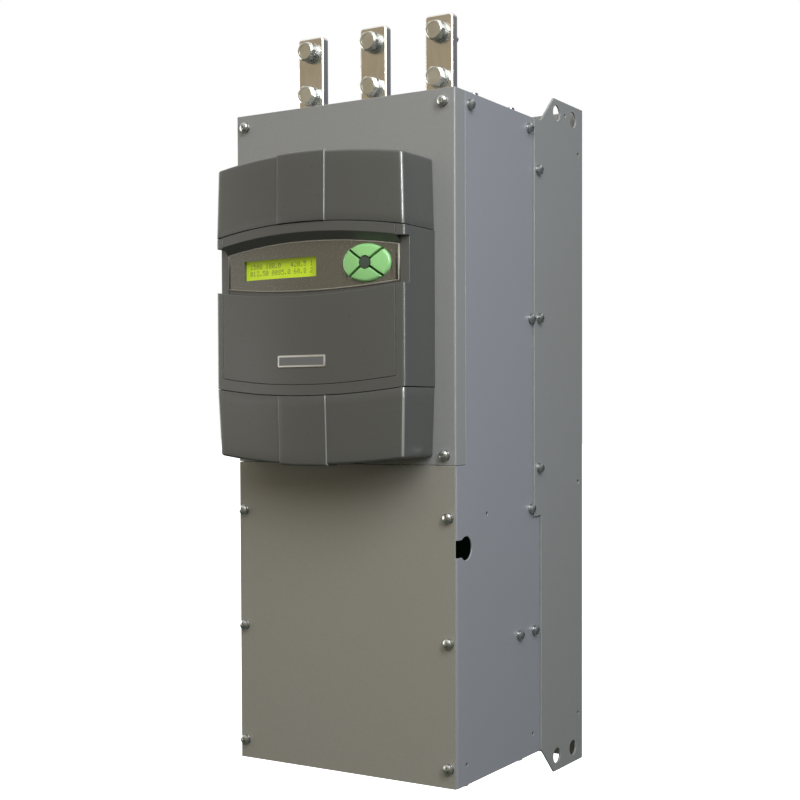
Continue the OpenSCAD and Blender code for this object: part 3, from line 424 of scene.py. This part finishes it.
def cap_grid(spec, inner):
    """one skin of a cap: wall from the seam to the closed end, round its edge, and the end itself"""
    g = 1.0 if spec["up"] else -1.0
    ys = spec["rows"]
    if inner:
        (wa, pa, ma), (wb, pb, mb) = spec["inner"]
        r, rf, lip = 2.0, 0.9, -0.2
    else:
        (wa, pa, ma), (wb, pb, mb) = spec["outer"]
        r, rf, lip = 4.0, 2.5, 0.6
    za, zb = spec["z_inner"] if inner else spec["z"]
    strip = not inner

    def at(z):
        t = (z - za) / (zb - za)
        return cap_stations(wa + (wb - wa) * t, pa + (pb - pa) * t, ma + (mb - ma) * t, r, strip, ys)

    def seam(x):
        c, s, crown = spec["seam"]
        return crown - g * arc_drop(x, c, s) if spec["up"] else crown + arc_drop(x, c, s)

    def end(x):
        c, s, crown = spec["end_inner"] if inner else spec["end"]
        return crown - g * arc_drop(x, c, s) + (g * rise(x) * spec["end_rise"] if strip else 0.0)
    verts, index = [], {}
    count = len(at(za))
    wall = [("lip", 0.0), ("lip", 0.5), ("lip", 1.0)] + [("wall", i / 7) for i in range(1, 8)] \
        + [("edge", i / 6) for i in range(1, 7)]
    for j in range(count):
        for k, (kind, t) in enumerate(wall):
            x = at((za + zb) / 2)[j][0]
            inset = 0.0
            for _ in range(3):
                if kind == "lip":
                    inset = lip * (1 - math.sin(t * math.pi / 2))
                    z = seam(x) + g * abs(lip) * (1 - math.cos(t * math.pi / 2))
                elif kind == "wall":
                    lo, hi = seam(x) + g * abs(lip), end(x) - g * rf
                    z = lo + (hi - lo) * t
                else:
                    inset = rf * (1 - math.cos(t * math.pi / 2))
                    z = end(x) - g * rf * (1 - math.sin(t * math.pi / 2))
                sx, sy, nx, ny = at(z)[j]
                x, y = sx - nx * inset, sy - ny * inset
            if j < len(ys) or j >= count - len(ys):
                y = ys[j] if j < len(ys) else ys[count - 1 - j]
            index[("w", j, k)] = len(verts)
            verts.append((x, y, z))
    last = len(wall) - 1
    first, final = len(ys), count - len(ys) - 1
    for j in range(first, final + 1):
        index[("e", j, 0)] = index[("w", j, last)]
        x = verts[index[("w", j, last)]][0]
        for i, y in enumerate(reversed(ys)):
            if j == first:
                index[("e", j, i + 1)] = index[("w", len(ys) - 1 - i, last)]
            elif j == final:
                index[("e", j, i + 1)] = index[("w", count - len(ys) + i, last)]
            else:
                index[("e", j, i + 1)] = len(verts)
                verts.append((x, y, end(x)))
    faces = []
    for j in range(count - 1):
        for k in range(last):
            faces.append((index[("w", j, k)], index[("w", j + 1, k)], index[("w", j + 1, k + 1)], index[("w", j, k + 1)]))
    hx, h0, h1 = spec["hole"]
    for j in range(first, final):
        for i in range(len(ys)):
            quad = (index[("e", j, i)], index[("e", j + 1, i)], index[("e", j + 1, i + 1)], index[("e", j, i + 1)])
            cx = (verts[quad[0]][0] + verts[quad[1]][0]) / 2
            cy = (verts[quad[2]][1] + verts[quad[3]][1] + verts[quad[0]][1] + verts[quad[1]][1]) / 4
            if abs(cx) < hx and h0 < cy < h1 and i > 0:
                continue
            faces.append(quad)
    return verts, faces


def cap(node, spec):
    vo, fo = cap_grid(spec, False)
    vi, fi = cap_grid(spec, True)
    n = len(vo)
    seen = {}
    for f in fo:
        for a, b in zip(f, f[1:] + f[:1]):
            seen[(a, b)] = seen.get((a, b), 0) + 1
    faces = list(fo) + [tuple(v + n for v in reversed(f)) for f in fi]
    for (a, b) in seen:
        if (b, a) not in seen:
            faces.append((b, a, a + n, b + n))
    bm = bmesh.new()
    vs = [bm.verts.new(P(x + HEADX, y, z)) for x, y, z in vo + vi]
    for f in faces:
        if len(set(f)) == 4:
            bm.faces.new([vs[i] for i in f])
    bmesh.ops.recalc_face_normals(bm, faces=bm.faces)
    me = bpy.data.meshes.new(node + "_shell")
    bm.to_mesh(me)
    bm.free()
    me.materials.append(MAT[SLOT[node]])
    me.materials.append(EDGE_HIGHLIGHT[SLOT[node]])
    # faces on the strip steps and the front corners take the lighter edge copy: a painted highlight
    for q in me.polygons:
        n, x = q.normal, abs(q.center.x * 1000 - HEADX)
        on_step = -0.36 < x - STRIP < 0.14 and n.y < 0
        on_corner = x > 90 and abs(n.z) < 0.3 and 0.42 < -n.y < 0.86
        q.material_index = 1 if on_step or on_corner else 0
    finish_mesh(me, 38)
    o = link(node + "_shell", me, N[node]["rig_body"])
    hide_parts(node)
    return o


cap("upper_cap", {
    "up": True, "rows": [-1.0, -10.0, -20.0, -31.0, -42.0],
    "outer": ((107.3, 53.0, 61.2), (104.9, 51.8, 60.2)), "z": (510.0, 591.0),
    "inner": ((104.9, 50.6, 58.8), (102.5, 49.4, 57.8)), "z_inner": (500.0, 600.0),
    "seam": (107.0, 8.2, 523.3), "end": (106.0, 7.0, 587.2), "end_inner": (106.0, 7.0, 584.8), "end_rise": 0.64,
    "hole": (60.0, -42.0, -20.0)})
cap("lower_cap", {
    "up": False, "rows": [-1.0, -8.0, -14.0, -28.0, -42.0],
    "outer": ((104.4, 50.6, 58.6), (107.3, 53.0, 61.2)), "z": (294.0, 374.0),
    "inner": ((102.0, 48.2, 56.2), (104.9, 50.6, 58.8)), "z_inner": (284.0, 384.0),
    "seam": (107.0, 7.6, 362.7), "end": (106.0, 7.2, 299.4), "end_inner": (106.0, 7.2, 301.8), "end_rise": 1.0,
    "hole": (80.0, -42.0, -14.0)})

# ---------------------------------------------------------------- rounded edges
def facia_weight(p):
    """rolled outer rim on the front side of the facia, crisp edges round its two windows"""
    x, y, z = p.x * 1000 - HEADX, (p.y + D) * 1000, p.z * 1000
    if math.hypot(x, y - YC) < RF - 8.0:
        return 0.0
    if -77 < x < 13.2 and 472.4 < z < 492.6:
        return 0.0
    if 38 < x < 93 and 464 < z < 502 and math.hypot((x - 65.6) / 26.6, (z - 483) / 19.2) < 1:
        return 0.2
    return 1.0


# where the last flag is set the bevel faces take the lighter edge copy, a painted highlight
for node, w, seg, e in (
        ("display_panel", 0.5, 2, False), ("control_housing", 0.5, 2, False),
        ("upper_front_cover", 0.35, 2, True), ("lower_front_cover", 0.4, 2, True), ("label_plate", 0.25, 2, False),
        ("right_side_panel", 0.3, 2, True), ("left_side_panel", 0.3, 2, True), ("rear_chassis", 0.35, 2, True),
        ("top_panel", 0.3, 2, True), ("bottom_panel", 0.3, 2, True),
        ("dc_busbar_positive", 0.8, 2, False), ("dc_busbar_negative", 0.8, 2, False),
        ("busbar_washers", 0.2, 2, False)):
    rounded(node, w, seg, edge=e)
# the facia's rolled rim takes the lighter facia copy: a painted highlight
rounded("display_facia", 1.3, 4, edge=True, weight=facia_weight)


# ---------------------------------------------------------------- supply busbars
def terminal_bar(i):
    """bar with filleted long edges and rounded top corners, set back to its module inside"""
    node = "ac_busbar_%d" % (i + 1)
    x0 = -1 + 76 * (i - 1) - 15.5
    x1, top, low, y0, y1 = x0 + 31, 729 + (0.2, 0.8, 1.8)[i], 590.0, 58.0, 68.0
    rc, r = 4.0, 1.9
    layers = [(r + 0.4, y0)] + [(r * (1 - math.sin(a)), y0 + r * (1 - math.cos(a))) for a in
                                [math.radians(15 * k) for k in range(7)]] + [(0.0, y0 + r + 0.3)]
    layers += [(d, y0 + y1 - y) for d, y in reversed(layers)]
    bm = bmesh.new()
    rings = []
    for d, y in layers:
        pts = [(x0 + d, low), (x0 + d, 660.0), (x0 + d, top - rc)]
        pts += [(x0 + rc - (rc - d) * math.cos(math.radians(a)), top - rc + (rc - d) * math.sin(math.radians(a)))
                for a in range(15, 91, 15)]
        pts += [(x0 + x1 - x, z) for x, z in reversed(pts)]
        rings.append([bm.verts.new(P(x, y, z)) for x, z in pts])
    n = len(rings[0])
    for k in range(len(rings) - 1):
        for a in range(n):
            b = (a + 1) % n
            f = bm.faces.new((rings[k][a], rings[k][b], rings[k + 1][b], rings[k + 1][a]))
            # faces of the rounded long edges take the lighter tin copy: a painted highlight
            f.material_index = 1 if 1 <= k <= 6 or len(rings) - 8 <= k <= len(rings) - 3 else 0
    bm.faces.new(rings[0])
    bm.faces.new(list(reversed(rings[-1])))
    side = [(58, 590), (58, 550), (58.9, 547), (61.5, 546), (108, 546), (108, 484), (118, 484), (118, 552.5),
            (117, 555.2), (114.5, 556), (68, 556), (68, 590)]
    ends = [[bm.verts.new(P(x, y, z)) for y, z in side] for x in (x0, x1)]
    bm.faces.new(ends[0])
    bm.faces.new(list(reversed(ends[1])))
    for a in range(len(side)):
        b = (a + 1) % len(side)
        bm.faces.new((ends[0][a], ends[1][a], ends[1][b], ends[0][b]))
    bmesh.ops.recalc_face_normals(bm, faces=bm.faces)
    me = bpy.data.meshes.new(node + "_bar")
    bm.to_mesh(me)
    bm.free()
    for m in paint(node):
        me.materials.append(m)
    finish_mesh(me, 30)
    o = link(node + "_bar", me, N[node]["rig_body"])
    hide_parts(node)


for i in range(3):
    terminal_bar(i)

# ---------------------------------------------------------------- keys
KEY_X, KEY_Z = 65.6, 483.0
KEY_Y = YC - math.sqrt((RF - 7.5) ** 2 - KEY_X ** 2)
KEY_TILT = math.asin(KEY_X / (RF - 7.5))


def in_oval(u, v, a, b):
    r1 = 0.53 * a
    c = a - r1
    k = (c * c - (b - r1) ** 2) / (2 * (b - r1))
    r2 = b + k
    xt = r2 * c / math.hypot(c, k)
    if (abs(u) - c) ** 2 + v * v <= r1 * r1:
        return True
    return abs(u) <= xt and u * u + (abs(v) + k) ** 2 <= r2 * r2


def reach(test):
    lo_, hi_ = 0.0, 60.0
    for _ in range(40):
        m = (lo_ + hi_) / 2
        lo_, hi_ = (m, hi_) if test(m) else (lo_, m)
    return lo_


def key_outline(t):
    """outline of one key as (u, v, edge radius), anticlockwise from the front"""
    a, b, g, hub, w = 24.9, 17.5, math.radians(36), 6.1, 1.1
    flat = t in (0, 180)
    # slot edge on the positive side: direction g, set off towards the key
    off = (math.sin(g) * w, -math.cos(g) * w) if flat else (-math.sin(g) * w, math.cos(g) * w)

    def slot(d):
        return d * math.cos(g) + off[0], d * math.sin(g) + off[1]
    d0 = math.sqrt(hub * hub - w * w)
    d1 = reach(lambda d: in_oval(*slot(d), a, b))
    edge = [slot(d0 + (d1 - d0) * k / 8) for k in range(9)]
    pr0 = math.atan2(edge[-1][1], edge[-1][0])
    ph0 = math.atan2(edge[0][1], edge[0][0])
    rim_r, slot_r = 2.7, 0.55

    def rim(an):
        d = reach(lambda q: in_oval(q * math.cos(an), q * math.sin(an), a, b))
        return d * math.cos(an), d * math.sin(an)
    if flat:
        pts = [(u, -v, slot_r) for u, v in edge[:-1]]
        pts += [(*rim(-pr0 + 2 * pr0 * k / 32), rim_r if 0 < k < 32 else 1.2) for k in range(33)]
        pts += [(u, v, slot_r) for u, v in reversed(edge[:-1])]
        pts += [(hub * math.cos(q), hub * math.sin(q), slot_r) for q in [ph0 - 2 * ph0 * k / 12 for k in range(1, 12)]]
    else:
        pts = [(u, v, slot_r) for u, v in edge[:-1]]
        pts += [(*rim(pr0 + (math.pi - 2 * pr0) * k / 40), rim_r if 0 < k < 40 else 1.2) for k in range(41)]
        pts += [(-u, v, slot_r) for u, v in reversed(edge[:-1])]
        pts += [(hub * math.cos(q), hub * math.sin(q), slot_r) for q in
                [math.pi - ph0 - (math.pi - 2 * ph0) * k / 16 for k in range(1, 16)]]
    if t in (180, 270):
        pts = [(-u, -v, r) for u, v, r in pts]
    return pts


def dome(u, v):
    return 4.2 - 99 + math.sqrt(99 * 99 - u * u - v * v)


def key(node, t):
    pts = key_outline(t)
    n = len(pts)
    rot = Matrix.Rotation(KEY_TILT, 3, "Z")
    origin = Vector((HEADX + KEY_X, KEY_Y, KEY_Z))
    bm = bmesh.new()

    def vert(u, y, v):
        q = origin + rot @ Vector((u, y, v))
        return bm.verts.new(P(q.x, q.y, q.z))
    inward = []
    for i, (u, v, _) in enumerate(pts):
        (ua, va, _), (ub, vb, _) = pts[i - 1], pts[(i + 1) % n]
        e1 = Vector((u - ua, v - va)).normalized()
        e2 = Vector((ub - u, vb - v)).normalized()
        n1, n2 = Vector((-e1.y, e1.x)), Vector((-e2.y, e2.x))
        m = (n1 + n2).normalized()
        inward.append(m / max(0.5, m.dot(n1)))
    # edge radius eased along the outline
    rad = [r for _, _, r in pts]
    for _ in range(3):
        rad = [(rad[i - 1] + 2 * rad[i] + rad[(i + 1) % n]) / 4 for i in range(n)]
    rings = [[vert(u, 2.4, v) for u, v, _ in pts]]
    flat = []
    for k in range(0, 9):
        a = math.radians(90 * k / 8)
        ring, fl = [], []
        for (u, v, _), m, r in zip(pts, inward, rad):
            q = Vector((u, v)) + m * r * (1 - math.cos(a))
            ring.append(vert(q.x, -(dome(q.x, q.y) - r * (1 - math.sin(a))), q.y))
            fl.append(q)
        rings.append(ring)
        flat = fl
    cu, cv = 15.6 * math.cos(math.radians(t)), 11.4 * math.sin(math.radians(t))
    for f in (0.8, 0.55, 0.3):
        rings.append([vert(cu + (q.x - cu) * f, -dome(cu + (q.x - cu) * f, cv + (q.y - cv) * f), cv + (q.y - cv) * f)
                      for q in flat])
    for a, b in zip(rings, rings[1:]):
        for i in range(n):
            j = (i + 1) % n
            bm.faces.new((a[i], a[j], b[j], b[i]))
    mid = vert(cu, -dome(cu, cv), cv)
    for i in range(n):
        bm.faces.new((rings[-1][i], rings[-1][(i + 1) % n], mid))
    bm.faces.new(list(reversed(rings[0])))
    # stem to the switch behind
    su, sv = 13 * math.cos(math.radians(t)), 13 * math.sin(math.radians(t))
    tip = (-MID + 21.1 - KEY_Y - su * math.sin(KEY_TILT)) / math.cos(KEY_TILT)
    tube = []
    for y, r in ((2.3, 2.0), (3.4, 1.5), (tip - 0.3, 1.5), (tip, 1.2)):
        tube.append([vert(su + r * math.cos(math.radians(20 * k)), y, sv + r * math.sin(math.radians(20 * k))) for k in range(18)])
    for a, b in zip(tube, tube[1:]):
        for i in range(18):
            bm.faces.new((a[i], a[(i + 1) % 18], b[(i + 1) % 18], b[i]))
    bm.faces.new(tube[0])
    bm.faces.new(tube[-1])
    bmesh.ops.recalc_face_normals(bm, faces=bm.faces)
    me = bpy.data.meshes.new(node + "_cap")
    bm.to_mesh(me)
    bm.free()
    me.materials.append(MAT[SLOT[node]])
    finish_mesh(me, 50)
    o = link(node + "_cap", me, N[node]["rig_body"])
    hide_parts(node)


for node, t in (("key_right", 0), ("key_up", 90), ("key_left", 180), ("key_down", 270)):
    key(node, t)


# ---------------------------------------------------------------- field of the blank plate
def plate_field():
    bm = bmesh.new()
    rows = []
    for off, inset in ((0.80, 0.0), (0.84, 0.15)):
        z0, z1, w = 391.3 + inset, 398.9 - inset, 25.2 - inset
        rows.append([[bm.verts.new(P(HEADX + w * (k / 12 - 1), YC - math.sqrt((RF + off) ** 2 - (w * (k / 12 - 1)) ** 2), z))
                      for k in range(25)] for z in (z0, z1)])
    (a0, a1), (b0, b1) = rows
    for k in range(24):
        bm.faces.new((b0[k], b0[k + 1], b1[k + 1], b1[k]))
        bm.faces.new((a0[k], a0[k + 1], b0[k + 1], b0[k]))
        bm.faces.new((a1[k + 1], a1[k], b1[k], b1[k + 1]))
        bm.faces.new((a0[k + 1], a0[k], a1[k], a1[k + 1]))
    for k in (0, 24):
        bm.faces.new((a0[k], b0[k], b1[k], a1[k]))
    bmesh.ops.recalc_face_normals(bm, faces=bm.faces)
    me = bpy.data.meshes.new("plate_field")
    bm.to_mesh(me)
    bm.free()
    me.materials.append(FIELD)
    o = link("plate_field", me, "enclosure")


plate_field()


# ---------------------------------------------------------------- display digits
FONT = {
    "0": "01110 10001 10011 10101 11001 10001 01110", "1": "00100 01100 00100 00100 00100 00100 01110",
    "2": "01110 10001 00001 00010 00100 01000 11111", "3": "11111 00010 00100 00010 00001 10001 01110",
    "4": "00010 00110 01010 10010 11111 00010 00010", "5": "11111 10000 11110 00001 00001 10001 01110",
    "6": "00110 01000 10000 11110 10001 10001 01110", "7": "11111 00001 00010 00100 01000 01000 01000",
    "8": "01110 10001 10001 01110 10001 10001 01110", "9": "01110 10001 10001 01111 00001 00010 01100",
    ".": "00000 00000 00000 00000 00000 01100 01100",
}


def display_digits():
    lx = -31.8
    rr = RF - 11.5
    origin = Vector((HEADX + lx, YC - math.sqrt(rr * rr - lx * lx), 482.3))
    rot = Matrix.Rotation(math.asin(lx / rr), 3, "Z")
    bm = bmesh.new()
    pitch, dx, dz = 3.84, 0.60, 0.68
    for row, (text, zc) in enumerate((("1500 100.0   420.5 1", 4.2), ("012.50 0085.0 60.0 2", -2.3))):
        for col, ch in enumerate(text):
            if ch == " ":
                continue
            u0 = -39.2 + col * pitch
            for r, bits in enumerate(FONT[ch].split()):
                for c, bit in enumerate(bits):
                    if bit == "0":
                        continue
                    u, z = u0 + c * dx, zc + (3 - r) * dz
                    a, b = dx * 0.46, dz * 0.46
                    ring = []
                    for y in (1.71, 1.62):
                        k = 1.0 if y > 1.7 else 0.9
                        ring.append([bm.verts.new((origin + rot @ Vector((u + su * a * k, y, z + sz * b * k)))) for su, sz in
                                     ((-1, -1), (1, -1), (1, 1), (-1, 1))])
                    bm.faces.new(ring[1])
                    for i in range(4):
                        j = (i + 1) % 4
                        bm.faces.new((ring[0][i], ring[0][j], ring[1][j], ring[1][i]))
                    bm.faces.new(list(reversed(ring[0])))
    for v in bm.verts:
        v.co = P(*v.co)
    bmesh.ops.recalc_face_normals(bm, faces=bm.faces)
    me = bpy.data.meshes.new("display_digits")
    bm.to_mesh(me)
    bm.free()
    me.materials.append(INK)
    o = link("display_digits", me, "enclosure")


display_digits()


# ---------------------------------------------------------------- studio
def area(name, loc, target, size, power, color=(1, 1, 1), size_y=None):
    li = bpy.data.lights.new(name, "AREA")
    li.energy = power
    li.color = color
    li.shape = "RECTANGLE"
    li.size = size
    li.size_y = size_y or size
    o = bpy.data.objects.new(name, li)
    bpy.context.scene.collection.objects.link(o)
    o.location = loc
    o.rotation_euler = (Vector(target) - Vector(loc)).to_track_quat("-Z", "Y").to_euler()
    o.visible_camera = False
    return o


def studio():
    w = bpy.data.worlds.new("studio")
    w.use_nodes = True
    nt = w.node_tree
    nt.nodes.clear()
    out = nt.nodes.new("ShaderNodeOutputWorld")
    tc = nt.nodes.new("ShaderNodeTexCoord")
    sep = nt.nodes.new("ShaderNodeSeparateXYZ")
    nt.links.new(tc.outputs["Generated"], sep.inputs[0])

    def along(v):
        n = nt.nodes.new("ShaderNodeVectorMath")
        n.operation = "DOT_PRODUCT"
        n.inputs[1].default_value = v
        nt.links.new(tc.outputs["Generated"], n.inputs[0])
        return n.outputs["Value"]
    warm = remap(nt, along((-0.55, -0.83, 0)), 0, 1, -0.2, 0.95, True)
    left = remap(nt, along((-1, 0.05, 0)), 0, 1, 0.56, 0.98, True)
    sky = remap(nt, sep.outputs["Z"], 0, 1, 0.30, 0.62, True)
    ground = remap(nt, sep.outputs["Z"], 0, 1, -0.04, -0.42, True)
    c = mix(nt, warm, (0.19, 0.20, 0.225), (0.42, 0.35, 0.24))
    c = mix(nt, left, c, (0.80, 0.78, 0.70))
    c = mix(nt, sky, c, (1.0, 1.0, 1.0))
    c = mix(nt, ground, c, (0.10, 0.125, 0.105))
    room = nt.nodes.new("ShaderNodeBackground")
    nt.links.new(c, room.inputs["Color"])
    white = nt.nodes.new("ShaderNodeBackground")
    white.inputs["Color"].default_value = (1, 1, 1, 1)
    lp = nt.nodes.new("ShaderNodeLightPath")
    ms = nt.nodes.new("ShaderNodeMixShader")
    nt.links.new(lp.outputs["Is Camera Ray"], ms.inputs[0])
    nt.links.new(room.outputs[0], ms.inputs[1])
    nt.links.new(white.outputs[0], ms.inputs[2])
    nt.links.new(ms.outputs[0], out.inputs["Surface"])
    bpy.context.scene.world = w

    area("key", (0.69, -1.96, 1.83), (0, -0.3, 0.4), 1.3, 23, (0.985, 0.99, 0.985), 1.5)
    area("side", (1.2, -0.95, 1.15), (0.1, -0.2, 0.5), 0.3, 24, (0.84, 0.90, 1), 1.2)
    # narrow strips that only show as lines on the rounded edges
    for name, loc, w, h, power in (("edge_right", (2.15, -1.55, 0.9), 0.12, 1.2, 20), ("edge_left", (-2.27, -0.50, 0.6), 1.0, 1.3, 15),
                                      ("low_left", (-1.85, -1.95, 0.40), 0.45, 0.40, 1.1)):
        area(name, loc, (0, -0.25, 0.42), w, power, (1, 1, 1), h).visible_diffuse = False

    me = bpy.data.meshes.new("floor")
    bm = bmesh.new()
    bmesh.ops.create_grid(bm, x_segments=1, y_segments=1, size=30)
    bm.to_mesh(me)
    bm.free()
    fl = bpy.data.objects.new("floor", me)
    bpy.context.scene.collection.objects.link(fl)
    fl.location = (0, 0, -0.45)
    m, nt, b = new_mat("floor_white")
    b.inputs["Base Color"].default_value = (0.9, 0.9, 0.9, 1)
    b.inputs["Roughness"].default_value = 0.9
    b.inputs["Emission Color"].default_value = (1, 1, 1, 1)
    b.inputs["Emission Strength"].default_value = 1.0
    me.materials.append(m)
    fl.visible_diffuse = False
    fl.visible_glossy = False
    fl.visible_transmission = False
    fl.visible_shadow = False


studio()
vs = bpy.context.scene.view_settings
vs.view_transform = "Standard"
vs.look = "None"
vs.exposure = 0.0
vs.gamma = 1.0
